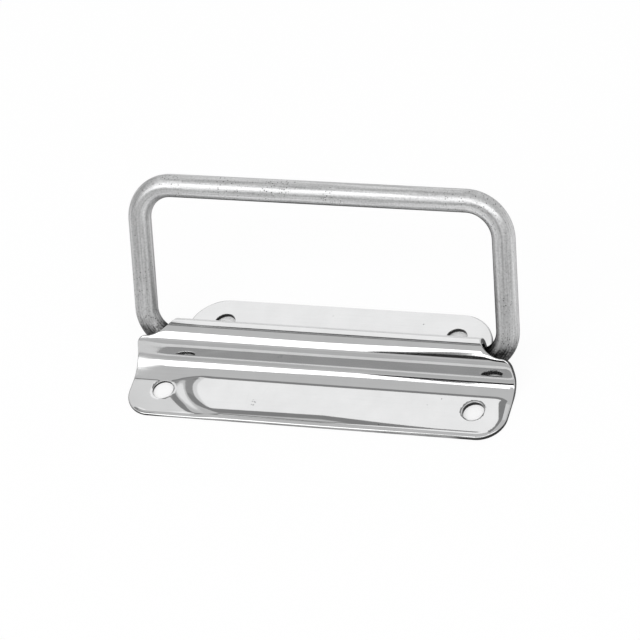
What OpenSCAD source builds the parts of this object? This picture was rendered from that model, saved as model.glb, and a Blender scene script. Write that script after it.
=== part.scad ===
// Chest handle: a one-piece pressed plate with a round-bar bail that turns under its hump.
// Millimetres. The origin is on the mounting face, midway between the two front screw holes.
// X runs along the plate, Y from the front flange to the rear flange, Z away from the mounting face.

/* [Plate] */
// Full width of the front flange and its shoulders
plate_width = 104; // [103.4:0.2:108]
// Sheet thickness
sheet_t = 1.2; // [1:0.1:1.4]
// Front screw line to the front edge
front_reach = 8.2; // [7.8:0.1:12]
// Radius of the two front corners
front_corner_r = 7.2; // [4:0.2:9]
// Rear screw line to the rear edge
rear_reach = 7.5; // [7:0.1:12]
// Radius of the two rear corners
rear_corner_r = 10; // [5:0.2:11]

/* [Screw holes] */
// Diameter of the four screw holes
hole_d = 5.6; // [4.2:0.1:5.8]
// Centre distance of the front pair
front_spacing = 85.4; // [80:0.2:87]
// Centre distance of the rear pair
rear_spacing = 64.4; // [56:0.2:66]
// Front screw line to rear screw line
row_gap = 22.9; // [22.7:0.1:28]

/* [Hump] */
// Outer radius from the crest into the front face
front_bend_r = 4.75; // [4.65:0.05:4.95]
// Straight length of the front face
slope_len = 2.15; // [2.05:0.05:2.5]
// Upper radius where the front face runs into the front flange
front_foot_r = 4.2; // [4:0.1:4.5]
// Pivot axis to the front end of the crest flat
crest_back = 0.3; // [0.2:0.1:0.4]
// Flat width along the crest
crest_flat = 0.1; // [0.1:0.1:0.4]
// Outer radius from the crest into the rear wall
rear_bend_r = 4.3; // [4.3:0.1:4.5]
// Upper radius where the rear wall runs into the rear flange
rear_foot_r = 1; // [0.6:0.1:1.2]

/* [Neck and shoulders] */
// Width of the rear flange and of the hump behind the shoulders
neck_width = 84.4; // [83:0.2:84.4]
// Outer radius of each shoulder
shoulder_r = 3.2; // [2.8:0.1:3.6]
// Pivot axis to the shoulder edge that stops a leg
stop_back = 2.8; // [2.8:0.1:3.2]

/* [Bail] */
// Bar diameter
bar_d = 6; // [5.6:0.1:6]
// Pivot axis to the middle of the grip bar
bail_reach = 42; // [38:0.2:60]
// Centre distance of the two legs
leg_span = 99.6; // [99.4:0.2:102]
// Centreline radius of the two grip bends
grip_bend_r = 9.5; // [7:0.1:14]
// Centreline radius of the two pivot bends
pivot_bend_r = 8.4; // [8:0.1:8.5]
// Straight pivot length beyond each bend
pivot_len = 11; // [8:0.5:20]
// Chamfer on the cut ends of the bar
end_chamfer = 0.5; // [0.3:0.1:1]

/* [Pivot] */
// Pivot axis above the mounting face
pivot_h = 3.8; // [3.5:0.1:3.8]
// Front screw line to the pivot axis
pivot_y = 14.2; // [14.1:0.1:14.4]
// Lean of the bail behind upright, in degrees
bail_lean = 33; // [18:1:90]
// How far the bail sits to the left in its end play
side_play = 0.5; // [0:0.1:0.5]

/* [Hidden] */
$fn = 96;
slop = 1;
half_w = plate_width / 2;
neck_half = neck_width / 2;
front_edge = -front_reach;
rear_edge = row_gap + rear_reach;

// The front face leans 7 in 24, a 7-24-25 triangle, so every point of the section is exact.
// Unit vectors in Y and Z: out of the front face, and down along it
face_out = [-0.96, 0.28];
face_down = [-0.28, -0.96];
hump_h = sheet_t + (front_bend_r + front_foot_r) * (1 - face_out[1]) - slope_len * face_down[1];
// Bend centres in Y and Z
crest_front_c = [pivot_y + crest_back, hump_h - front_bend_r];
front_foot_c = crest_front_c + (front_bend_r + front_foot_r) * face_out + slope_len * face_down;
crest_rear_c = [crest_front_c[0] + crest_flat, hump_h - rear_bend_r];
wall_y = crest_rear_c[0] + rear_bend_r;
rear_foot_c = [wall_y + rear_foot_r, sheet_t + rear_foot_r];

// Corner centres of the right half of the plan, in X and Y
front_corner_c = [half_w - front_corner_r, front_edge + front_corner_r];
rear_corner_c = [neck_half - rear_corner_r, rear_edge - rear_corner_r];
// Shoulder and notch are quarter circles that meet end to end
shoulder_y = pivot_y - stop_back;
notch_r = half_w - shoulder_r - neck_half;
shoulder_c = [half_w - shoulder_r, shoulder_y - shoulder_r];
notch_c = [half_w - shoulder_r, shoulder_y + notch_r];

// Bail centreline, drawn flat in X and Y with the pivot axis on X
leg_x = leg_span / 2;
pivot_end_x = leg_x - pivot_bend_r;
grip_half = leg_x - grip_bend_r;
leg_len = bail_reach - pivot_bend_r - grip_bend_r;

// One bend of the sheet: a ring of inner radius r cut by a wedge from its centre
module sheet_bend(c, r, wedge) {
    translate(c)
        intersection() {
            difference() {
                circle(r = r + sheet_t);
                circle(r = r);
            }
            polygon(concat([[0, 0]], wedge));
        }
}

// Section of the sheet in Y and Z, from the front edge to the rear edge
module sheet_section() {
    far = 50;
    slope_top = crest_front_c + front_bend_r * face_out;
    slope_in = crest_front_c + (front_bend_r - sheet_t) * face_out;
    translate([front_edge - slop, 0])
        square([front_foot_c[0] - front_edge + slop, sheet_t]);
    sheet_bend(front_foot_c, front_foot_r, [[0, -far], [far, -far], -far * face_out]);
    polygon([
        slope_top,
        slope_top + slope_len * face_down,
        slope_in + slope_len * face_down,
        slope_in
    ]);
    sheet_bend(crest_front_c, front_bend_r - sheet_t, [far * face_out, [-far, far], [0, far]]);
    translate([crest_front_c[0], hump_h - sheet_t])
        square([crest_flat, sheet_t]);
    sheet_bend(crest_rear_c, rear_bend_r - sheet_t, [[0, far], [far, far], [far, 0]]);
    translate([wall_y - sheet_t, rear_foot_c[1]])
        square([sheet_t, crest_rear_c[1] - rear_foot_c[1]]);
    sheet_bend(rear_foot_c, rear_foot_r, [[-far, 0], [-far, -far], [0, -far]]);
    translate([rear_foot_c[0], 0])
        square([rear_edge - rear_foot_c[0] + slop, sheet_t]);
}

// Quarter disc at c, in the quadrant given by the signs sx and sy
module quarter(c, r, sx, sy) {
    translate(c)
        intersection() {
            circle(r = r);
            polygon([[0, 0], [sx * 2 * r, 0], [sx * 2 * r, sy * 2 * r], [0, sy * 2 * r]]);
        }
}

// Plan outline: wide front flange, two shoulders, two notches, narrow rear flange
module plan_outline() {
    right = [
        [front_corner_c[0], front_edge],
        front_corner_c,
        [half_w, front_corner_c[1]],
        [half_w, shoulder_c[1]],
        shoulder_c,
        notch_c,
        [neck_half, notch_c[1]],
        [neck_half, rear_corner_c[1]],
        rear_corner_c,
        [rear_corner_c[0], rear_edge]
    ];
    left = [for (i = [len(right) - 1 : -1 : 0]) [-right[i][0], right[i][1]]];
    difference() {
        union() {
            polygon(concat(right, left));
            for (m = [0, 1])
                mirror([m, 0]) {
                    quarter(front_corner_c, front_corner_r, 1, -1);
                    quarter(shoulder_c, shoulder_r, 1, 1);
                    quarter(rear_corner_c, rear_corner_r, 1, 1);
                }
        }
        for (m = [0, 1])
            mirror([m, 0]) quarter(notch_c, notch_r, -1, -1);
    }
}

module screw_hole(x, y) {
    translate([x, y, -slop]) cylinder(d = hole_d, h = sheet_t + 2 * slop);
}

module base_plate() {
    color([0.80, 0.81, 0.82])
    difference() {
        intersection() {
            translate([-half_w - slop, 0, 0])
                rotate([90, 0, 90])
                    linear_extrude(height = plate_width + 2 * slop) sheet_section();
            translate([0, 0, -slop])
                linear_extrude(height = hump_h + 2 * slop) plan_outline();
        }
        for (s = [-1, 1]) {
            screw_hole(s * front_spacing / 2, 0);
            screw_hole(s * rear_spacing / 2, row_gap);
        }
    }
}

// Right side of the bar: pivot with its chamfered end, bend, leg, bend
module bar_side() {
    translate([pivot_end_x - pivot_len, 0, 0])
        rotate([0, 90, 0])
            cylinder(d1 = bar_d - 2 * end_chamfer, d2 = bar_d, h = end_chamfer);
    translate([pivot_end_x - pivot_len + end_chamfer, 0, 0])
        rotate([0, 90, 0]) cylinder(d = bar_d, h = pivot_len - end_chamfer);
    translate([pivot_end_x, pivot_bend_r, 0])
        rotate([0, 0, -90])
            rotate_extrude(angle = 90) translate([pivot_bend_r, 0]) circle(d = bar_d);
    translate([leg_x, pivot_bend_r, 0])
        rotate([-90, 0, 0]) cylinder(d = bar_d, h = leg_len);
    translate([grip_half, bail_reach - grip_bend_r, 0])
        rotate_extrude(angle = 90) translate([grip_bend_r, 0]) circle(d = bar_d);
}

module bail_handle() {
    color([0.66, 0.66, 0.66])
    translate([-side_play, pivot_y, pivot_h])
        rotate([90 - bail_lean, 0, 0]) {
            for (m = [0, 1])
                mirror([m, 0, 0]) bar_side();
            translate([-grip_half, bail_reach, 0])
                rotate([0, 90, 0]) cylinder(d = bar_d, h = 2 * grip_half);
        }
}

base_plate();
bail_handle();
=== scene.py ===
"""Looks of the chest handle: polished plate, satin bail, pale floor, studio cards and the matched camera."""

import math

import bpy
import numpy as np
from mathutils import Matrix, Vector, geometry, kdtree


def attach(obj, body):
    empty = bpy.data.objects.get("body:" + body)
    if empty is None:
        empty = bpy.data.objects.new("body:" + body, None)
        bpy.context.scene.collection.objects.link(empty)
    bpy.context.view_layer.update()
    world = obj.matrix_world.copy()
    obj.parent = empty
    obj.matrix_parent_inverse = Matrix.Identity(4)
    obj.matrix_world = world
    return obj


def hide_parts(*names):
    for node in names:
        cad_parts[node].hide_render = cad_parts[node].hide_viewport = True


MM = 0.001
UPRIGHT = math.pi / 2.0

# Sizes of the plate in millimetres, as in the part's source
HALF_W = 52.0
SHEET_T = 1.2
FRONT_EDGE = -8.2
FRONT_CORNER_R = 7.2
REAR_EDGE = 30.4
REAR_CORNER_R = 10.0
HOLE_R = 2.8
FRONT_HOLE_X = 42.7
REAR_HOLE_X = 32.2
REAR_HOLE_Y = 22.9
CREST_R = 4.75
SLOPE_LEN = 2.15
FOOT_R = 4.2
CREST_Y = 14.5
CREST_FLAT = 0.1
REAR_BEND_R = 4.3
REAR_FOOT_R = 1.0
NECK_HALF = 42.2
SHOULDER_R = 3.2
SHOULDER_Y = 11.4
NOTCH_R = HALF_W - SHOULDER_R - NECK_HALF
# The front face rises 24 in 7
SLOPE = math.atan2(24.0, 7.0)

# Bail in millimetres, with one radius that stands for all four bends in its material
PIVOT = (0.0, 14.2, 3.8)
BAIL_LEAN = math.radians(33.0)
BAIL_REACH = 42.0
LEG_X = 49.8
SIDE_PLAY = 0.5
BEND_R = 9.0

# Edge rounding of the blanked sheet
EDGE_R = 0.34
HOLE_EDGE_R = 0.1
LOWER_EDGE_R = 0.08
EDGE_STEPS = 6
# Darkness of the cut wall along the front, at the front's ends, and behind the crest and in the holes:
# partly the wall's dull finish and partly painted shade, fullest in the holes and behind the crest
DARK_WALL_FRONT = 0.36
DARK_WALL_ENDS = 0.8
DARK_WALL_FULL = 1.0
# Where the front's wall turns into that of the ends, and how far ahead of the crest full darkness starts
ENDS_X = 38.0
ENDS_RANGE = 8.0
DARK_WALL_AHEAD = 3.0
# Turn of a rim's normal, in radians, at which the polish ends and the wall's dull finish and painted shade
# start, and the range of that change
DARK_WALL_FROM = 0.7
DARK_WALL_RANGE = 0.6

# Relief of the pressed flange, in millimetres: where each border starts to fall and how fast it curves
FRONT_FALL = ((-40.0, -5.0), (-21.0, -4.8), (3.5, -4.5), (21.0, -5.5), (34.0, -6.0), (52.0, -6.0))
FRONT_CURVE = 0.05
RIGHT_FALL = ((-6.0, 48.2), (-2.1, 48.9), (3.3, 47.5))
RIGHT_CURVE = 0.035
# The relief fades out in front of the hump
RELIEF_END_Y = 2.6
RELIEF_END_RANGE = 3.4
# Step pressed in at the left end: middle of its bowed edge, bow to the front and rear, width and slope
STEP_X = -32.6
STEP_Y = 2.0
STEP_BOW_FRONT = 0.115
STEP_BOW_REAR = 0.4
STEP_WIDTH = 11.0
STEP_SLOPE = 0.088
# Change of slope along the foot of the hump: length from the start of the bend, and radians
FOOT_LEFT = ((-1.3, 0.0), (-0.1, 0.13), (0.2, 0.15), (1.0, 0.085), (2.37, -0.05), (3.34, 0.025), (4.2, 0.0))
FOOT_RIGHT = (
    (-1.3, 0.0), (-0.1, 0.13), (0.2, 0.16), (1.0, 0.085), (1.6, -0.03), (2.2, -0.13),
    (2.6, -0.1), (3.2, -0.02), (3.8, 0.06), (4.6, 0.04), (5.2, 0.0),
)
# The foot tightens towards the right over this range of x
FOOT_FROM = -10.0
FOOT_TO = 37.0
# Lengths over which the foot's rise is summed, and over which it goes back to nothing
FOOT_SPAN = (-2.0, 21.0)
FOOT_SAMPLES = 2301
FOOT_RETURN_FROM = 14.0
FOOT_RETURN_RANGE = 6.0
# Rolled rim, which ends ahead of the crest and is missing at the left end of the flange
RIM_ROLL = 0.12
RIM_ROLL_WIDTH = 1.3
RIM_END_AHEAD = 2.5
RIM_END_RANGE = 2.0
RIM_LEFT_X = -40.0
RIM_LEFT_RANGE = 4.0
# Raised lip along the front edge: distance from the edge, half width, height and where it ends
LIP_AT = 0.95
LIP_HALF = 0.3
LIP_HEIGHT = 0.045
LIP_END = 2.2
LIP_END_RANGE = 0.8
# Dished metal around the left and right front holes
HOLE_DISH = (0.06, 0.07)
HOLE_DISH_WIDTH = 0.7
# Flared left end of the hump: where it starts, its width, the fuller foot and the raised shoulder
FLARE_X = -43.5
FLARE_WIDTH = 8.5
FLARE_FILL = 0.3
FLARE_FILL_AT = 2.9
FLARE_FILL_HALF = 4.0
FLARE_LIFT = 0.45
FLARE_LIFT_FROM = 6.5
FLARE_LIFT_TO = 10.5

# Mesh spacing: along the nine parts of the section, along x, and the extra rows behind the front edge
GRID_STEPS = (0.45, 0.2, 0.25, 0.2, 0.1, 0.25, 0.6, 0.12, 0.5)
GRID_X = 51.8
GRID_X_STEP = 0.56
GRID_CLEAR = 0.25
LIP_ROWS = (0.5, 2.4, 0.12)
LOOP_STEP = 0.4
ARC_STEP = 0.35
ARC_LEAST = 4
BORDER_STEP = 0.02
HOLE_POINTS = 96
FINE_POINTS = 6000
# Stretch of u while the sheet is cut into triangles, the triangulation's settings for triangles within the
# outermost loop and for points that count as one, and the offset for normals by difference
STRETCH = 3.0
TRIANGLES_WITHIN = 1
SAME_POINT = 1e-6
PROBE = 0.02

# Wear on the plate, in millimetres: a patch of pits, thin scratches and single specks with their radius
PIT_PATCH = (-16.7, -2.5)
PIT_PATCH_R = 1.5
PIT_DEPTH = 0.5
SCRATCHES = (
    ((-13.4, 4.0), (-15.0, -0.6)),
    ((20.6, 28.4), (25.2, 30.0)),
    ((-18.6, 1.0), (-18.2, -3.6)),
    ((25.6, 29.6), (28.2, 29.4)),
)
SCRATCH_HALF = 0.12
SCRATCH_DEPTH = 0.14
SPECKS = (((33.5, 3.0), 0.2), ((22.3, 26.4), 0.2), ((30.2, 0.8), 0.12), ((-3.0, 27.2), 0.14))

# Greys have a faint cool cast
COOL_CAST = (1.0, 1.003, 1.006)
# Dots are given by cells per metre, size in a cell and share of the cells; the core of each is full
PLATE_PITS = (2200.0, 0.42, 0.4)
PLATE_DOTS = (210.0, 0.05, 0.12)
BAR_PITS = (1700.0, 0.34, 0.42)
BAR_NICKS = (1900.0, 0.42, 0.42)
DOT_CORE = 0.5
# Polish lines are a noise that is stretched along the plate and turned a little
POLISH_STRETCH = (60.0, 2500.0, 2500.0)
POLISH_TURN = 0.35
# Noises are given by scale, detail and roughness, and those over the place alone also have a seed
POLISH_SEED = 0.0
CLOUD_SEED = 2.0
MOTTLE_SEED = 1.0
PATCH_SEED = 5.0
POLISH_NOISE = (1.0, 3.0, 0.5)
CLOUD_NOISE = (160.0, 4.0, 0.5)
BAR_LINES = (1.9, 3.0, 0.55)
BAR_BROAD = (0.7, 1.0, 0.5)
BAR_MOTTLE = (1900.0, 4.0, 0.65)
BAR_PATCHES = (70.0, 2.0, 0.5)
# Plate: weights in its tone, greys along that tone, roughness, worn left end and height of its waves
POLISH_WEIGHT = 0.2
CLOUD_WEIGHT = 0.4
PLATE_LEVEL = 0.22
DOT_DEPTH = 0.9
PLATE_TONES = ((0.0, 0.035), (0.36, 0.58), (0.62, 0.638))
PLATE_ROUGH = (0.3, 0.8, 0.035, 0.065)
CUT_ROUGH = 0.4
WORN_X = (-42.0, -51.0)
WORN_Y = (1.5, 5.0)
WORN_ROUGH = 0.2
WAVE_LINES = 0.1
WAVE_HEIGHT = 0.000003
# Bail: weights in its tone, depth of its marks and of its painted shade, and where they lie along the legs,
# in millimetres
LINE_WEIGHT = 0.58
MOTTLE_WEIGHT = 0.44
BROAD_WEIGHT = 0.35
BAR_LEVEL = -0.18
DRAW_DRIFT = 0.025
PATCH_LIMITS = (0.43, 0.56)
BAR_PIT_DEPTH = 0.42
NICK_REACH = (13.0, 5.0)
NICK_DEPTH = 0.3
# Painted shade towards the pivot ends of the legs, under the hump, and more where the bar meets the plate
LOW_SHADE_REACH = (9.0, 2.5)
LOW_SHADE_DEPTH = 0.26
CONTACT_SHADE_REACH = (5.2, 3.6)
CONTACT_SHADE_DEPTH = 0.1
# Painted shade on the inner side of the bar, fainter on the left leg
INNER_SHADE_OFFSET = (-1.9, -2.9)
INNER_SHADE_DEPTH = 0.32
LEFT_LEG = (-47.0, -38.0)
LEFT_INNER_SHADE = 0.15
BAR_TONES = ((0.08, 0.05), (0.68, 0.8))
# Reflection tint painted darker on the inner side of the bar and less so on the left leg: painted shade in
# its reflections
SHEEN_SHADE_OFFSET = (-2.0, 2.4)
SHEEN_SHADE_LEFT = 0.6
SHEEN_SHADE_TONES = ((0.0, 0.1), (1.0, 0.7))
BAR_ROUGH = (0.3, 0.7, 0.27, 0.43)
MOTTLE_HEIGHT = 0.5
GRAIN_HEIGHT = 0.00003

# Floor: its grey, and how much of it is plain white to the camera, in reflections and in the front holes
FLOOR_HALF = 6000.0
FLOOR_GREY = 0.95
SEEN_SHARE = 0.93
MIRROR_SHARE = 0.42
HOLE_SHARE = 0.55
# Shaded floor under the plate: centre and half size in x, then in y, and the fade at its border
SHADE_REAR = ((0.0, 38.0), (22.9, 5.0))
SHADE_FRONT = ((0.0, 47.0), (0.0, 4.5))
SHADE_LEFT = ((-26.0, 24.0), (10.0, 16.0))
SHADE_FADE = 1.0

# Studio cards: x in millimetres, degrees over the plate from the rear horizon, distance, strength
CARD_ROUGH = 0.9
REAR_DIST = 900.0
SOFTBOX_DIST = 800.0
FLAG_DIST = 735.0
SOFT_FLAG_DIST = 730.0
PANEL_LEFT = -464.0
PANEL_FADE = -424.0
PANEL_RIGHT = -190.0
FRAME_LEFT = -558.0
FRAME_SOFT = -574.0
FRAME_RIGHT = -90.0
FILL_LEFT = -900.0
FILL_RIGHT = 160.0
PANEL_LEVELS = (1.0, 30.0, 57.0)
FRAME_TOP = 64.5
FILL_TOP = 84.0
SOFT_STRENGTH = 0.82
FILL_STRENGTH = 1.22
REAR_CARDS = (
    ("rear_panel", PANEL_FADE, PANEL_RIGHT, 1.3),
    ("rear_panel_side", PANEL_LEFT, PANEL_FADE, 1.02),
    ("rear_frame_left", FRAME_LEFT, PANEL_LEFT, 0.42),
    ("rear_frame_right", PANEL_RIGHT, FRAME_RIGHT, 0.33),
    ("rear_frame_soft", FRAME_SOFT, FRAME_LEFT, SOFT_STRENGTH),
    ("rear_fill_left", FILL_LEFT, FRAME_SOFT, FILL_STRENGTH),
    ("rear_fill_right", FRAME_RIGHT, FILL_RIGHT, 0.95),
)
REAR_TOP_CARDS = (
    ("rear_frame_top", FRAME_LEFT, FRAME_RIGHT, FRAME_TOP, 0.33),
    ("rear_soft_top", FRAME_SOFT, FRAME_LEFT, FILL_TOP, SOFT_STRENGTH),
    ("rear_fill_top", FILL_LEFT, FRAME_SOFT, FILL_TOP, FILL_STRENGTH),
)
SOFTBOX_STRENGTH = 2.6
SOFTBOX = (
    (-900.0, 102.0), (-400.0, 102.0), (-310.0, 109.0), (-280.0, 106.0), (-245.0, 98.5), (-215.0, 97.0),
    (-190.0, 97.0), (-190.0, 110.5), (120.0, 110.5), (120.0, 136.0), (-310.0, 146.0), (-900.0, 146.0),
)
SOFTBOX_RIGHT = (120.0, 900.0, 100.0, 119.0)
FRONT_LOW = (-900.0, 900.0, 158.0, 179.3)
FRONT_LOW_STRENGTH = 0.66
FLAG = (
    (-258.0, 147.0), (120.0, 150.0), (120.0, 130.0), (-196.0, 130.0), (-204.0, 128.0),
    (-224.0, 128.0), (-234.0, 129.0), (-244.0, 133.0), (-256.0, 144.0),
)
FLAG_STRENGTH = 0.04
SOFT_FLAG = (
    (-204.0, 129.0), (-204.0, 110.0), (-208.0, 110.0), (-215.0, 112.5), (-224.0, 118.0), (-234.0, 129.0),
)
SOFT_FLAG_STRENGTH = 0.34
SIDE_CARDS = (("side_left", -700.0, 0.5), ("side_right", 800.0, 0.75))
SIDE_CORNERS = ((-900.0, 1.0), (900.0, 1.0), (900.0, 700.0), (-900.0, 700.0))
WORLD_STRENGTH = 0.75

# Camera that matches the photograph: angles in degrees, lengths in millimetres
CAM_AZ = 32.542
CAM_EL = 47.645
CAM_ROLL = -21.551
CAM_DIST = 981.53
CAM_TARGET = (-5.275, 24.2, 3.059)
CAM_LENS = 212.79
CAM_SENSOR = 36.0

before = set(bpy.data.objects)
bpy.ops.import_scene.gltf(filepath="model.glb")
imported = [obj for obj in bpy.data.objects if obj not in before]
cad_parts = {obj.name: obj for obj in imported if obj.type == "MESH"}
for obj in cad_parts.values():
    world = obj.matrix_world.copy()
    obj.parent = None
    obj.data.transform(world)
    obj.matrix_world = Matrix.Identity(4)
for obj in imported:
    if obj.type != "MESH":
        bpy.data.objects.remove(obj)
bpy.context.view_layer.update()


# Section of the sheet's upper face
def section_parts():
    """The upper face in Y and Z as a list of (length, function of the length along it)."""
    parts = []
    foot_y = CREST_Y - (CREST_R + FOOT_R) * math.sin(SLOPE) - SLOPE_LEN * math.cos(SLOPE)
    hump = SHEET_T + (CREST_R + FOOT_R) * (1 - math.cos(SLOPE)) + SLOPE_LEN * math.sin(SLOPE)

    def line(y, z, angle, length):
        c = math.cos(angle)
        s = math.sin(angle)
        parts.append((length, lambda d: (y + c * d, z + s * d, c, s)))
        return y + c * length, z + s * length

    def arc(y, z, a0, a1, r):
        side = 1.0 if a1 > a0 else -1.0
        cy = y - side * r * math.sin(a0)
        cz = z + side * r * math.cos(a0)

        def at(d):
            a = a0 + side * d / r
            return (cy + side * r * math.sin(a), cz - side * r * math.cos(a), math.cos(a), math.sin(a))

        length = abs(a1 - a0) * r
        parts.append((length, at))
        return at(length)[:2]

    y, z = line(FRONT_EDGE, SHEET_T, 0.0, foot_y - FRONT_EDGE)
    y, z = arc(y, z, 0.0, SLOPE, FOOT_R)
    y, z = line(y, z, SLOPE, SLOPE_LEN)
    y, z = arc(y, z, SLOPE, 0.0, CREST_R)
    y, z = line(y, z, 0.0, CREST_FLAT)
    y, z = arc(y, z, 0.0, -UPRIGHT, REAR_BEND_R)
    y, z = line(y, z, -UPRIGHT, hump - REAR_BEND_R - SHEET_T - REAR_FOOT_R)
    y, z = arc(y, z, -UPRIGHT, 0.0, REAR_FOOT_R)
    line(y, z, 0.0, REAR_EDGE - y)
    return parts


PARTS = section_parts()
STARTS = np.concatenate([[0.0], np.cumsum([length for length, _ in PARTS])])
LENGTH = float(STARTS[-1])
# Lengths from the front edge to the foot, the crest, the rear wall and the rear flange
FOOT_U = float(STARTS[1])
CREST_U = float(STARTS[4])
WALL_U = float(STARTS[6])
REAR_FLAT_U = float(STARTS[8])


def section(u):
    """Point and unit tangent of the upper face at length u from the front edge."""
    i = int(np.clip(np.searchsorted(STARTS, u, side="right") - 1, 0, len(PARTS) - 1))
    return PARTS[i][1](u - STARTS[i])


FINE_U = np.linspace(0.0, LENGTH, FINE_POINTS)
FINE = np.array([section(u) for u in FINE_U])


def u_of_y(y):
    """Length along the sheet for a plan position in front of the rear wall or on the rear flange."""
    from_rear = REAR_EDGE - y
    if from_rear < LENGTH - REAR_FLAT_U:
        return LENGTH - from_rear
    k = FINE_U <= WALL_U
    return float(np.interp(y, FINE[k, 0], FINE_U[k]))


# Outline and holes of the sheet in x and u
def arc_points(cx, cy, r, a0, a1):
    """Points of an arc between two angles in degrees."""
    n = max(ARC_LEAST, int(abs(math.radians(a1 - a0)) * r / ARC_STEP))
    angles = np.radians(np.linspace(a0, a1, n + 1))
    return [(cx + r * math.cos(a), cy + r * math.sin(a)) for a in angles]


def resample(pts, step):
    """Points at about even steps along a closed loop."""
    closed = np.vstack([pts, pts[:1]])
    seg = np.linalg.norm(np.diff(closed, axis=0), axis=1)
    s = np.concatenate([[0.0], np.cumsum(seg)])
    t = np.linspace(0.0, s[-1], int(s[-1] / step), endpoint=False)
    return np.stack([np.interp(t, s, closed[:, 0]), np.interp(t, s, closed[:, 1])], 1)


def outline():
    """Closed outline of the flat sheet, counter-clockwise, as points in x and u."""
    shoulder_x = HALF_W - SHOULDER_R
    right = arc_points(HALF_W - FRONT_CORNER_R, FRONT_EDGE + FRONT_CORNER_R, FRONT_CORNER_R, -90, 0)
    right += arc_points(shoulder_x, SHOULDER_Y - SHOULDER_R, SHOULDER_R, 0, 90)
    right += arc_points(shoulder_x, SHOULDER_Y + NOTCH_R, NOTCH_R, 270, 180)[1:]
    right += arc_points(NECK_HALF - REAR_CORNER_R, REAR_EDGE - REAR_CORNER_R, REAR_CORNER_R, 0, 90)
    pts = [(x, u_of_y(y)) for x, y in right]
    pts += [(-x, u) for x, u in reversed(pts)]
    return resample(np.array(pts), LOOP_STEP)


def outward(loop):
    """Unit normals of a counter-clockwise loop, pointing out of it."""
    d = np.roll(loop, -1, 0) - np.roll(loop, 1, 0)
    d /= np.linalg.norm(d, axis=1)[:, None]
    return np.stack([d[:, 1], -d[:, 0]], 1)


def hole_loop(c):
    """Counter-clockwise circle of a screw hole."""
    a = np.linspace(0.0, 2.0 * math.pi, HOLE_POINTS, endpoint=False)
    return np.stack([c[0] + HOLE_R * np.cos(a), c[1] + HOLE_R * np.sin(a)], 1)


def point_tree(points):
    """Search tree over points in x and u."""
    tree = kdtree.KDTree(len(points))
    for i, (x, u) in enumerate(points):
        tree.insert((x, u, 0.0), i)
    tree.balance()
    return tree


# Left and right front holes, then left and right rear holes
HOLES = [
    (side * x, u_of_y(y)) for x, y in ((FRONT_HOLE_X, 0.0), (REAR_HOLE_X, REAR_HOLE_Y)) for side in (-1, 1)
]
OUTLINE = outline()
BORDER = point_tree(resample(OUTLINE, BORDER_STEP))


def border_distance(q):
    """Distance of points in x and u from the outer edge of the sheet."""
    return np.array([BORDER.find((x, u, 0.0))[2] for x, u in q])


def inside(pts, loop):
    """Which points lie inside a closed loop."""
    x, y = pts[:, 0], pts[:, 1]
    hit = np.zeros(len(pts), bool)
    for (x0, y0), (x1, y1) in zip(loop, np.roll(loop, -1, 0)):
        if y0 != y1:
            hit ^= ((y0 > y) != (y1 > y)) & (x < (x1 - x0) * (y - y0) / (y1 - y0) + x0)
    return hit


# Pressed relief of the sheet
def smooth(t):
    """Soft step from 0 to 1."""
    t = np.clip(t, 0.0, 1.0)
    return t * t * (3.0 - 2.0 * t)


def flange_relief(x, y):
    """Fall of the front flange towards its front and right edges, and the step at its left end."""
    front_y = np.interp(x, *zip(*FRONT_FALL))
    front = FRONT_CURVE * np.maximum(front_y - y, 0.0) ** 2 / 2.0
    right_x = np.interp(y, *zip(*RIGHT_FALL))
    right = RIGHT_CURVE * np.maximum(x - right_x, 0.0) ** 2 / 2.0
    bow = np.where(y < STEP_Y, STEP_BOW_FRONT, STEP_BOW_REAR)
    into = (STEP_X + bow * (y - STEP_Y) ** 2 - x) / STEP_WIDTH
    t = np.clip(into, 0.0, 1.0)
    step = STEP_SLOPE * STEP_WIDTH * (t / 2.0 - np.sin(2.0 * math.pi * t) / (4.0 * math.pi))
    return step + front * (1.0 - smooth(into)) + right


def foot_lift(x, u):
    """Rise of the upper face where the flange runs into the hump, from the change of slope there."""
    at = np.linspace(*FOOT_SPAN, FOOT_SAMPLES)
    rises = []
    for profile in (FOOT_LEFT, FOOT_RIGHT):
        slope = np.interp(at, *zip(*profile))
        rise = np.concatenate([[0.0], np.cumsum((slope[1:] + slope[:-1]) / 2.0 * np.diff(at))])
        rise -= rise[-1] * smooth((at - FOOT_RETURN_FROM) / FOOT_RETURN_RANGE)
        rises.append(np.interp(u - FOOT_U, at, rise))
    share = smooth((x - FOOT_FROM) / (FOOT_TO - FOOT_FROM))
    return rises[0] + (rises[1] - rises[0]) * share


def end_flare(q):
    """How far both faces of the sheet stand out of the true section at the left end of the hump."""
    v = q[:, 1] - FOOT_U
    away = np.clip((v - FLARE_FILL_AT) / FLARE_FILL_HALF, -1.0, 1.0)
    fill = FLARE_FILL * np.cos(UPRIGHT * away) ** 2
    lift = FLARE_LIFT * smooth((v - FLARE_LIFT_FROM) / (FLARE_LIFT_TO - FLARE_LIFT_FROM))
    return (fill + lift) * smooth((FLARE_X - q[:, 0]) / FLARE_WIDTH)


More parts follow.
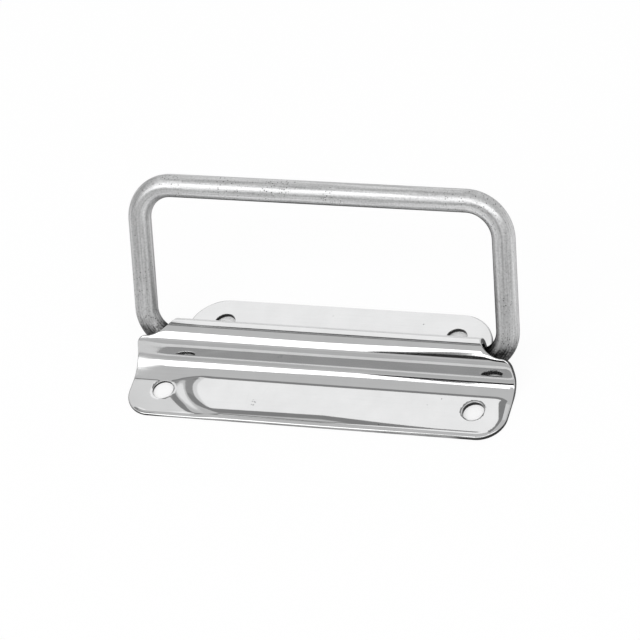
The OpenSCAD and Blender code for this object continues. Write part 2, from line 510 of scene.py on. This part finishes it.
def sag(q):
    """How far the upper face lies below the true section: pressed relief, rolled rim and dished holes."""
    x, u = q[:, 0], q[:, 1]
    y = FRONT_EDGE + u
    edge = border_distance(q)
    on_flange = 1.0 - smooth((y - RELIEF_END_Y) / RELIEF_END_RANGE)
    drop = flange_relief(x, y) * on_flange - foot_lift(x, u) - end_flare(q)
    rim = 1.0 - smooth((u - CREST_U + RIM_END_AHEAD) / RIM_END_RANGE)
    rim *= 1.0 - on_flange * smooth((RIM_LEFT_X - x) / RIM_LEFT_RANGE)
    drop += rim * RIM_ROLL * np.clip(1.0 - edge / RIM_ROLL_WIDTH, 0.0, 1.0) ** 2
    lip = smooth((LIP_END - u) / LIP_END_RANGE)
    drop -= lip * LIP_HEIGHT * np.exp(-((edge - LIP_AT) / LIP_HALF) ** 2)
    for c, dish in zip(HOLES, HOLE_DISH):
        r = np.linalg.norm(q - np.array(c), axis=1)
        drop += dish * np.clip(1.0 - (r - HOLE_R) / HOLE_DISH_WIDTH, 0.0, 1.0) ** 2
    return drop


# Mesh of the sheet
def frame_at(q):
    """Points, tangents and normals of the true upper face at points in x and u."""
    y, z, ty, tz = (np.interp(q[:, 1], FINE_U, column) for column in FINE.T)
    length = np.hypot(ty, tz)
    ty /= length
    tz /= length
    zero = np.zeros(len(q))
    return np.stack([q[:, 0], y, z], 1), np.stack([zero, ty, tz], 1), np.stack([zero, -tz, ty], 1)


def pressed(q):
    """Points of the upper face with its relief."""
    point, _, normal = frame_at(q)
    return point - sag(q)[:, None] * normal


def upper_normals(q):
    """Unit normals of the upper face with its relief."""
    dx = pressed(q + [PROBE, 0.0]) - pressed(q - [PROBE, 0.0])
    du = pressed(q + [0.0, PROBE]) - pressed(q - [0.0, PROBE])
    n = np.cross(dx, du)
    return n / np.linalg.norm(n, axis=1)[:, None]


def grid_points(loop):
    """Points inside the sheet, dense in u where the sheet bends and along the lip."""
    lines = list(np.arange(*LIP_ROWS))
    for (length, _), start, step in zip(PARTS, STARTS, GRID_STEPS):
        n = max(1, int(round(length / step)))
        lines += list(start + length * np.arange(n) / n)
    columns = np.arange(-GRID_X, HALF_W, GRID_X_STEP)
    pts = np.array([(x, u) for u in lines for x in columns])
    keep = inside(pts, loop)
    keep &= border_distance(pts) > EDGE_R + GRID_CLEAR
    for c in HOLES:
        keep &= np.linalg.norm(pts - np.array(c), axis=1) > HOLE_R + HOLE_EDGE_R + GRID_CLEAR
    return pts[keep]


def sheet_rims():
    """Outline and holes, each as its loop, normals, side on which it is cut and edge radius."""
    rims = [(OUTLINE, outward(OUTLINE), 1.0, EDGE_R)]
    for c in HOLES:
        loop = hole_loop(c)
        rims.append((loop, outward(loop), -1.0, HOLE_EDGE_R))
    return rims


def triangulate(loops):
    """Points in x and u between the loops, their triangles, and each loop's points among them."""
    flat = np.vstack(loops + [grid_points(loops[0])])
    firsts = np.cumsum([0] + [len(loop) for loop in loops])
    edges = []
    for first, loop in zip(firsts, loops):
        edges += [(first + i, first + (i + 1) % len(loop)) for i in range(len(loop))]
    points = [Vector((x, u * STRETCH)) for x, u in flat]
    found = geometry.delaunay_2d_cdt(points, edges, [], TRIANGLES_WITHIN, SAME_POINT)
    q = np.array([(v.x, v.y / STRETCH) for v in found[0]])
    place_of = {old: new for new, olds in enumerate(found[3]) for old in olds}
    seams = []
    for first, loop in zip(firsts, loops):
        seams.append(np.array([place_of[first + i] for i in range(len(loop))]))
    tris = np.array(found[2])
    mid = q[tris].mean(1)
    keep = inside(mid, loops[0])
    for loop in loops[1:]:
        keep &= ~inside(mid, loop)
    return q, tris[keep], seams


def rim_rows(radius):
    """Rows of a cut edge, top to bottom: inset, depth, turn of the normal, and if relief moves it."""
    turn = np.linspace(0.0, UPRIGHT, EDGE_STEPS + 1)
    rows = [(radius * (1 - math.sin(t)), radius * (1 - math.cos(t)), t, True) for t in turn[1:]]
    for t in turn[::-2]:
        depth = SHEET_T - LOWER_EDGE_R * (1 - math.cos(t))
        rows.append((LOWER_EDGE_R * (1 - math.sin(t)), depth, math.pi - t, False))
    return rows


def wall_dull_and_shade(loop, side):
    """Darkness of the cut wall along a rim: partly its dull finish, partly painted shade."""
    if side < 0:
        return np.full(len(loop), DARK_WALL_FULL)
    ends = smooth((np.abs(loop[:, 0]) - ENDS_X) / ENDS_RANGE)
    front = DARK_WALL_FRONT + (DARK_WALL_ENDS - DARK_WALL_FRONT) * ends
    return np.where(loop[:, 1] > CREST_U - DARK_WALL_AHEAD, DARK_WALL_FULL, front)


def plate_mesh():
    """The whole sheet: upper face, rounded rims, cut walls and lower face, with exact normals."""
    verts, normals, faces, cut = [], [], [], []

    def add(points, norms, wall):
        start = len(verts)
        verts.extend(points)
        normals.extend(norms)
        cut.extend(wall)
        return start

    rims = sheet_rims()
    q, tris, seams = triangulate([loop - side * radius * out for loop, out, side, radius in rims])
    point, _, base_n = frame_at(q)
    polished = np.zeros(len(q))
    top = add(pressed(q), upper_normals(q), polished)
    low = add(point - (SHEET_T - end_flare(q)[:, None]) * base_n, -base_n, polished)
    for t in tris:
        faces.append(tuple(top + t))
        faces.append(tuple(low + t[::-1]))
    for (loop, out, side, radius), seam in zip(rims, seams):
        rows = [top + seam]
        drop = sag(loop)[:, None]
        flare = end_flare(loop)[:, None]
        up_n = upper_normals(loop - side * radius * out)
        dull_and_shade = wall_dull_and_shade(loop, side)
        for shift, depth, t, follows in rim_rows(radius):
            point, tangent, normal = frame_at(loop - side * shift * out)
            away = side * (out[:, :1] * np.array([1.0, 0.0, 0.0]) + out[:, 1:] * tangent)
            norm = math.cos(t) * (up_n if follows else normal) + math.sin(t) * away
            norm /= np.linalg.norm(norm, axis=1)[:, None]
            sunk = depth + (drop if follows else -flare)
            # Darkness of the cut wall: partly its dull finish, partly painted shade
            wall = dull_and_shade * smooth((t - DARK_WALL_FROM) / DARK_WALL_RANGE)
            rows.append(add(point - sunk * normal, norm, wall) + np.arange(len(loop)))
        rows.append(low + seam)
        for r0, r1 in zip(rows, rows[1:]):
            for quad in zip(r0, r1, np.roll(r1, -1), np.roll(r0, -1)):
                faces.append(quad if side > 0 else quad[::-1])
    return np.array(verts) * MM, faces, normals, cut


def new_mesh(name, verts, faces, normals=None):
    """Smooth object in the scene, with given normals if there are any."""
    mesh = bpy.data.meshes.new(name)
    mesh.from_pydata([tuple(v) for v in verts], [], [tuple(int(i) for i in f) for f in faces])
    mesh.update()
    mesh.polygons.foreach_set("use_smooth", [True] * len(mesh.polygons))
    if normals is not None:
        mesh.normals_split_custom_set_from_vertices([tuple(n) for n in normals])
    obj = bpy.data.objects.new(name, mesh)
    bpy.context.scene.collection.objects.link(obj)
    return obj


# Building blocks of the materials
def new_material(name):
    """Material with nodes, its node tree and its shader."""
    mat = bpy.data.materials.new(name)
    mat.use_nodes = True
    return mat, mat.node_tree, mat.node_tree.nodes["Principled BSDF"]


def wire(tree, value, socket):
    """Link a node's first output or a socket, or set a plain number or vector."""
    if isinstance(value, bpy.types.Node):
        tree.links.new(value.outputs[0], socket)
    elif isinstance(value, bpy.types.NodeSocket):
        tree.links.new(value, socket)
    else:
        socket.default_value = value


def calc(tree, op, *args):
    """One step of arithmetic."""
    node = tree.nodes.new("ShaderNodeMath")
    node.operation = op
    for socket, value in zip(node.inputs, args):
        wire(tree, value, socket)
    return node


def times(tree, a, b):
    return calc(tree, "MULTIPLY", a, b)


def minus(tree, a, b):
    return calc(tree, "SUBTRACT", a, b)


def total(tree, first, *others):
    """Sum of any number of values."""
    for value in others:
        first = calc(tree, "ADD", first, value)
    return first


def ramp(tree, value, low, high, a=0.0, b=1.0):
    """Soft step from a to b while the value goes from low to high."""
    node = tree.nodes.new("ShaderNodeMapRange")
    node.interpolation_type = "SMOOTHSTEP"
    for name, v in (("Value", value), ("From Min", low), ("From Max", high), ("To Min", a), ("To Max", b)):
        wire(tree, v, node.inputs[name])
    return node


def tint(tree, factor, stops):
    """Grey along a factor, from stops of position and linear grey."""
    node = tree.nodes.new("ShaderNodeValToRGB")
    elements = node.color_ramp.elements
    ends = list(zip(elements, (stops[0], stops[-1])))
    for element, (position, _) in ends:
        element.position = position
    for element, (_, grey) in ends:
        element.color = (*(grey * cast for cast in COOL_CAST), 1.0)
    for position, grey in stops[1:-1]:
        elements.new(position).color = (*(grey * cast for cast in COOL_CAST), 1.0)
    wire(tree, factor, node.inputs["Fac"])
    return node


def noise4(tree, vector, w, scale, detail, rough):
    """Noise over a vector and one more number."""
    node = tree.nodes.new("ShaderNodeTexNoise")
    node.noise_dimensions = "4D"
    values = (("Vector", vector), ("W", w), ("Scale", scale), ("Detail", detail), ("Roughness", rough))
    for name, v in values:
        wire(tree, v, node.inputs[name])
    return node


def bump(tree, height, distance):
    """Normal that follows a height."""
    node = tree.nodes.new("ShaderNodeBump")
    wire(tree, 1.0, node.inputs["Strength"])
    wire(tree, distance, node.inputs["Distance"])
    wire(tree, height, node.inputs["Height"])
    return node


def object_place(tree):
    return tree.nodes.new("ShaderNodeTexCoord").outputs["Object"]


def split_place(tree, place):
    """The three coordinates of a place."""
    node = tree.nodes.new("ShaderNodeSeparateXYZ")
    wire(tree, place, node.inputs[0])
    return node.outputs


def specks(tree, vector, scale, size, share):
    """Sparse round dots: 1 inside a dot, 0 elsewhere."""
    cell = tree.nodes.new("ShaderNodeTexVoronoi")
    wire(tree, scale, cell.inputs["Scale"])
    wire(tree, vector, cell.inputs["Vector"])
    near = ramp(tree, cell.outputs["Distance"], size, size * DOT_CORE)
    pick = tree.nodes.new("ShaderNodeSeparateColor")
    wire(tree, cell.outputs["Color"], pick.inputs[0])
    return times(tree, near, calc(tree, "LESS_THAN", pick.outputs[0], share))


def scratch(tree, plan, start, end):
    """Thin line between two places of the plate in millimetres: 1 on the line, 0 off it."""
    length = math.dist(start, end)
    dx, dy = ((b - a) / length for a, b in zip(start, end))
    x, y = (minus(tree, axis, (a + b) / 2.0) for axis, a, b in zip(plan, start, end))
    along = total(tree, times(tree, x, dx), times(tree, y, dy))
    off = minus(tree, times(tree, y, dx), times(tree, x, dy))
    line = ramp(tree, calc(tree, "ABSOLUTE", off), SCRATCH_HALF, 0.0)
    ends = ramp(tree, calc(tree, "ABSOLUTE", along), length / 2.0, length / 4.0)
    return times(tree, line, ends)


def spot(tree, plan, centre, radius):
    """Soft round spot on the plate: 1 at its centre, 0 from its radius on."""
    x, y = (minus(tree, axis, c) for axis, c in zip(plan, centre))
    square = total(tree, times(tree, x, x), times(tree, y, y))
    return ramp(tree, calc(tree, "SQRT", square), radius, radius * DOT_CORE)


# Materials of the two pieces
def plate_wear(tree, place, plan):
    """Depth of the patch of pits, the scratches and the single specks."""
    patch = times(tree, spot(tree, plan, PIT_PATCH, PIT_PATCH_R), specks(tree, place, *PLATE_PITS))
    marks = [times(tree, patch, PIT_DEPTH)]
    marks += [times(tree, scratch(tree, plan, start, end), SCRATCH_DEPTH) for start, end in SCRATCHES]
    marks += [times(tree, spot(tree, plan, centre, radius), PIT_DEPTH) for centre, radius in SPECKS]
    return total(tree, *marks)


def polished_steel():
    """Mirror-bright pressed sheet with faint polish lines, some wear, and cut walls darkened partly by their
    dull finish and partly by painted shade.
    """
    mat, tree, bsdf = new_material("polished_plate")
    wire(tree, 1.0, bsdf.inputs["Metallic"])
    place = object_place(tree)
    plan = [times(tree, axis, 1.0 / MM) for axis in split_place(tree, place)[:2]]
    attribute = tree.nodes.new("ShaderNodeAttribute")
    attribute.attribute_name = "cut"
    cut = attribute.outputs["Fac"]
    mapping = tree.nodes.new("ShaderNodeMapping")
    wire(tree, POLISH_STRETCH, mapping.inputs["Scale"])
    wire(tree, (0.0, 0.0, POLISH_TURN), mapping.inputs["Rotation"])
    wire(tree, place, mapping.inputs["Vector"])
    lines = noise4(tree, mapping, POLISH_SEED, *POLISH_NOISE)
    cloud = noise4(tree, place, CLOUD_SEED, *CLOUD_NOISE)
    dots = specks(tree, place, *PLATE_DOTS)
    shade = total(tree, times(tree, lines, POLISH_WEIGHT), times(tree, cloud, CLOUD_WEIGHT), PLATE_LEVEL)
    # The cut walls are darkened here: partly dull finish, partly painted shade
    for mark in (times(tree, dots, DOT_DEPTH), plate_wear(tree, place, plan), cut):
        shade = minus(tree, shade, mark)
    wire(tree, tint(tree, shade, PLATE_TONES), bsdf.inputs["Base Color"])
    dull = times(tree, total(tree, cut, dots), CUT_ROUGH)
    worn = times(tree, ramp(tree, plan[0], *WORN_X), ramp(tree, plan[1], *WORN_Y))
    rough = total(tree, ramp(tree, lines, *PLATE_ROUGH), dull, times(tree, worn, WORN_ROUGH))
    wire(tree, rough, bsdf.inputs["Roughness"])
    wave = total(tree, cloud, times(tree, lines, WAVE_LINES))
    wire(tree, bump(tree, wave, WAVE_HEIGHT), bsdf.inputs["Normal"])
    return mat


def bail_measure(tree, place, axis):
    """Millimetres from the bail's pivot along an axis."""
    dot = tree.nodes.new("ShaderNodeVectorMath")
    dot.operation = "DOT_PRODUCT"
    wire(tree, place, dot.inputs[0])
    wire(tree, axis, dot.inputs[1])
    pivot = (PIVOT[0] - SIDE_PLAY, PIVOT[1], PIVOT[2])
    start = sum(a * b for a, b in zip(axis, pivot))
    return minus(tree, times(tree, dot.outputs["Value"], 1.0 / MM), start)


def bar_offset(tree, side, reach):
    """Distance from the bar's centreline in the plane of the bail, below 0 on its inner side."""
    half = BAIL_REACH / 2.0
    from_middle = calc(tree, "ABSOLUTE", minus(tree, reach, half))
    qx = minus(tree, calc(tree, "ABSOLUTE", side), LEG_X - BEND_R)
    qy = minus(tree, from_middle, half - BEND_R)
    squares = [calc(tree, "POWER", calc(tree, "MAXIMUM", q, 0.0), 2.0) for q in (qx, qy)]
    corner = calc(tree, "SQRT", total(tree, *squares))
    inner = calc(tree, "MINIMUM", calc(tree, "MAXIMUM", qx, qy), 0.0)
    return minus(tree, total(tree, corner, inner), BEND_R)


def satin_steel():
    """Drawn round bar: fine lines along it, pits, tool marks at the pivot bends, and painted shade on its
    inner side, towards the pivot ends and where it meets the plate, with reflections painted darker on its
    inner side.
    """
    mat, tree, bsdf = new_material("satin_bar")
    wire(tree, 1.0, bsdf.inputs["Metallic"])
    place = object_place(tree)
    side = bail_measure(tree, place, (1.0, 0.0, 0.0))
    reach = bail_measure(tree, place, (0.0, math.sin(BAIL_LEAN), math.cos(BAIL_LEAN)))
    out = bail_measure(tree, place, (0.0, -math.cos(BAIL_LEAN), math.sin(BAIL_LEAN)))
    offset = bar_offset(tree, side, reach)
    ring = tree.nodes.new("ShaderNodeCombineXYZ")
    for value, socket in zip((offset, out, times(tree, side, DRAW_DRIFT)), ring.inputs):
        wire(tree, value, socket)
    drift = times(tree, reach, DRAW_DRIFT)
    lines = noise4(tree, ring, drift, *BAR_LINES)
    broad = noise4(tree, ring, drift, *BAR_BROAD)
    mottle = noise4(tree, place, MOTTLE_SEED, *BAR_MOTTLE)
    patches = ramp(tree, noise4(tree, place, PATCH_SEED, *BAR_PATCHES), *PATCH_LIMITS)
    pits = times(tree, specks(tree, place, *BAR_PITS), patches)
    nicks = times(tree, specks(tree, place, *BAR_NICKS), ramp(tree, reach, *NICK_REACH))
    # Painted shade on the inner side of the bar, fainter on the left leg
    inner = times(tree, ramp(tree, offset, *INNER_SHADE_OFFSET), ramp(tree, side, *LEFT_LEG, LEFT_INNER_SHADE, 1.0))
    shade = total(
        tree,
        times(tree, lines, LINE_WEIGHT),
        times(tree, mottle, MOTTLE_WEIGHT),
        times(tree, broad, BROAD_WEIGHT),
        BAR_LEVEL,
    )
    # Pits and nicks are marks; the rest is painted shade towards the pivot ends, where the bar meets the
    # plate and on its inner side
    marks = (
        (pits, BAR_PIT_DEPTH),
        (nicks, NICK_DEPTH),
        (ramp(tree, reach, *LOW_SHADE_REACH), LOW_SHADE_DEPTH),
        (ramp(tree, reach, *CONTACT_SHADE_REACH), CONTACT_SHADE_DEPTH),
        (inner, INNER_SHADE_DEPTH),
    )
    for mark, depth in marks:
        shade = minus(tree, shade, times(tree, mark, depth))
    wire(tree, tint(tree, shade, BAR_TONES), bsdf.inputs["Base Color"])
    # Reflections painted darker on the inner side of the bar, less so on the left leg
    on_left = ramp(tree, side, LEFT_LEG[1], LEFT_LEG[0], 0.0, SHEEN_SHADE_LEFT)
    lit = calc(tree, "MAXIMUM", ramp(tree, offset, *SHEEN_SHADE_OFFSET), on_left)
    wire(tree, tint(tree, lit, SHEEN_SHADE_TONES), bsdf.inputs["Specular Tint"])
    wire(tree, ramp(tree, mottle, *BAR_ROUGH), bsdf.inputs["Roughness"])
    height = total(tree, lines, times(tree, mottle, MOTTLE_HEIGHT))
    height = minus(tree, height, total(tree, pits, nicks))
    wire(tree, bump(tree, height, GRAIN_HEIGHT), bsdf.inputs["Normal"])
    return mat


plate_verts, plate_faces, plate_normals, plate_cut = plate_mesh()
plate = new_mesh("plate_sheet", plate_verts, plate_faces, plate_normals)
plate.data.attributes.new("cut", "FLOAT", "POINT").data.foreach_set("value", plate_cut)
plate.data.materials.append(polished_steel())
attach(plate, "plate")
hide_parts("base_plate")

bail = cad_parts["bail_handle"]
bail.data.materials.clear()
bail.data.materials.append(satin_steel())


# Floor and studio cards
def stage_face(name, corners, material):
    """One flat face of the set, from corners in millimetres."""
    obj = new_mesh(name, np.array(corners) * MM, [tuple(range(len(corners)))])
    obj.data.materials.append(material)
    return obj


def open_floor(tree, axes, covered, least):
    """The least share on a covered part of the floor, 1 off it."""
    away = []
    for axis, (centre, half) in zip(axes, covered):
        far = calc(tree, "ABSOLUTE", minus(tree, axis, centre * MM))
        away.append(ramp(tree, far, (half - SHADE_FADE) * MM, half * MM, least, 1.0))
    return calc(tree, "MAXIMUM", *away)


def floor_material():
    """White floor that keeps a soft shadow and shows as white to the camera."""
    mat, tree, bsdf = new_material("floor_white")
    wire(tree, (FLOOR_GREY, FLOOR_GREY, FLOOR_GREY, 1.0), bsdf.inputs["Base Color"])
    wire(tree, 1.0, bsdf.inputs["Roughness"])
    wire(tree, 0.0, bsdf.inputs["Specular IOR Level"])
    axes = split_place(tree, object_place(tree))[:2]
    path = tree.nodes.new("ShaderNodeLightPath").outputs
    rear = open_floor(tree, axes, SHADE_REAR, 0.0)
    front = open_floor(tree, axes, SHADE_FRONT, HOLE_SHARE)
    left = open_floor(tree, axes, SHADE_LEFT, 0.0)
    clear = times(tree, calc(tree, "MINIMUM", rear, front), SEEN_SHARE)
    seen = times(tree, clear, path["Is Camera Ray"])
    mirrored = times(tree, times(tree, left, MIRROR_SHARE), path["Is Glossy Ray"])
    mix = tree.nodes.new("ShaderNodeMixShader")
    wire(tree, calc(tree, "MAXIMUM", seen, mirrored), mix.inputs[0])
    wire(tree, bsdf, mix.inputs[1])
    wire(tree, tree.nodes.new("ShaderNodeEmission"), mix.inputs[2])
    wire(tree, mix, tree.nodes["Material Output"].inputs["Surface"])
    return mat


def card(name, corners, strength):
    """Lit or dark card that shows only in reflections, from corners in millimetres."""
    mat, tree, bsdf = new_material(name + "_glow")
    wire(tree, (0.0, 0.0, 0.0, 1.0), bsdf.inputs["Base Color"])
    wire(tree, 0.0, bsdf.inputs["Specular IOR Level"])
    wire(tree, CARD_ROUGH, bsdf.inputs["Roughness"])
    wire(tree, (1.0, 1.0, 1.0, 1.0), bsdf.inputs["Emission Color"])
    wire(tree, strength, bsdf.inputs["Emission Strength"])
    stage_face(name, corners, mat).visible_camera = False


def over_plate(name, dist, corners, strength):
    """Card at a distance from the pivot, from corners in x and degrees over the plate."""
    places = []
    for x, degrees in corners:
        a = math.radians(degrees)
        places.append((x, PIVOT[1] + dist * math.cos(a), PIVOT[2] + dist * math.sin(a)))
    card(name, places, strength)


def band(name, dist, x0, x1, low, high, strength):
    """Rectangular card over the plate."""
    over_plate(name, dist, [(x0, low), (x1, low), (x1, high), (x0, high)], strength)


floor_corners = [(x * FLOOR_HALF, y * FLOOR_HALF, 0.0) for x, y in ((-1, -1), (1, -1), (1, 1), (-1, 1))]
stage_face("floor", floor_corners, floor_material())

for lower, higher in zip(PANEL_LEVELS, PANEL_LEVELS[1:]):
    for name, x0, x1, strength in REAR_CARDS:
        band("%s_%d" % (name, lower), REAR_DIST, x0, x1, lower, higher, strength)
for name, x0, x1, higher, strength in REAR_TOP_CARDS:
    band(name, REAR_DIST, x0, x1, PANEL_LEVELS[-1], higher, strength)
over_plate("front_softbox", SOFTBOX_DIST, SOFTBOX, SOFTBOX_STRENGTH)
band("front_low", REAR_DIST, *FRONT_LOW, FRONT_LOW_STRENGTH)
band("front_softbox_right", SOFTBOX_DIST, *SOFTBOX_RIGHT, SOFTBOX_STRENGTH)
over_plate("front_flag", FLAG_DIST, FLAG, FLAG_STRENGTH)
over_plate("front_flag_soft", SOFT_FLAG_DIST, SOFT_FLAG, SOFT_FLAG_STRENGTH)
for name, x, strength in SIDE_CARDS:
    card(name, [(x, y, z) for y, z in SIDE_CORNERS], strength)

world = bpy.data.worlds.new("studio")
bpy.context.scene.world = world
world.use_nodes = True
background = world.node_tree.nodes["Background"]
background.inputs["Color"].default_value = (1.0, 1.0, 1.0, 1.0)
background.inputs["Strength"].default_value = WORLD_STRENGTH


# Camera
def add_camera():
    """Camera of the photograph, rolled about its line of sight."""
    az, el, roll = (math.radians(v) for v in (CAM_AZ, CAM_EL, CAM_ROLL))
    back = Vector((math.sin(az) * math.cos(el), -math.cos(az) * math.cos(el), math.sin(el)))
    level = Vector((math.cos(az), math.sin(az), 0.0))
    upright = back.cross(level)
    right = math.cos(roll) * level + math.sin(roll) * upright
    up = -math.sin(roll) * level + math.cos(roll) * upright
    data = bpy.data.cameras.new("camera")
    data.sensor_width = CAM_SENSOR
    data.lens = CAM_LENS
    cam = bpy.data.objects.new("camera", data)
    bpy.context.scene.collection.objects.link(cam)
    place = (Vector(CAM_TARGET) + back * CAM_DIST) * MM
    turn = Matrix((right, up, back)).transposed().to_4x4()
    cam.matrix_world = Matrix.Translation(place) @ turn
    bpy.context.scene.camera = cam


add_camera()
bpy.context.scene.view_settings.view_transform = "Standard"
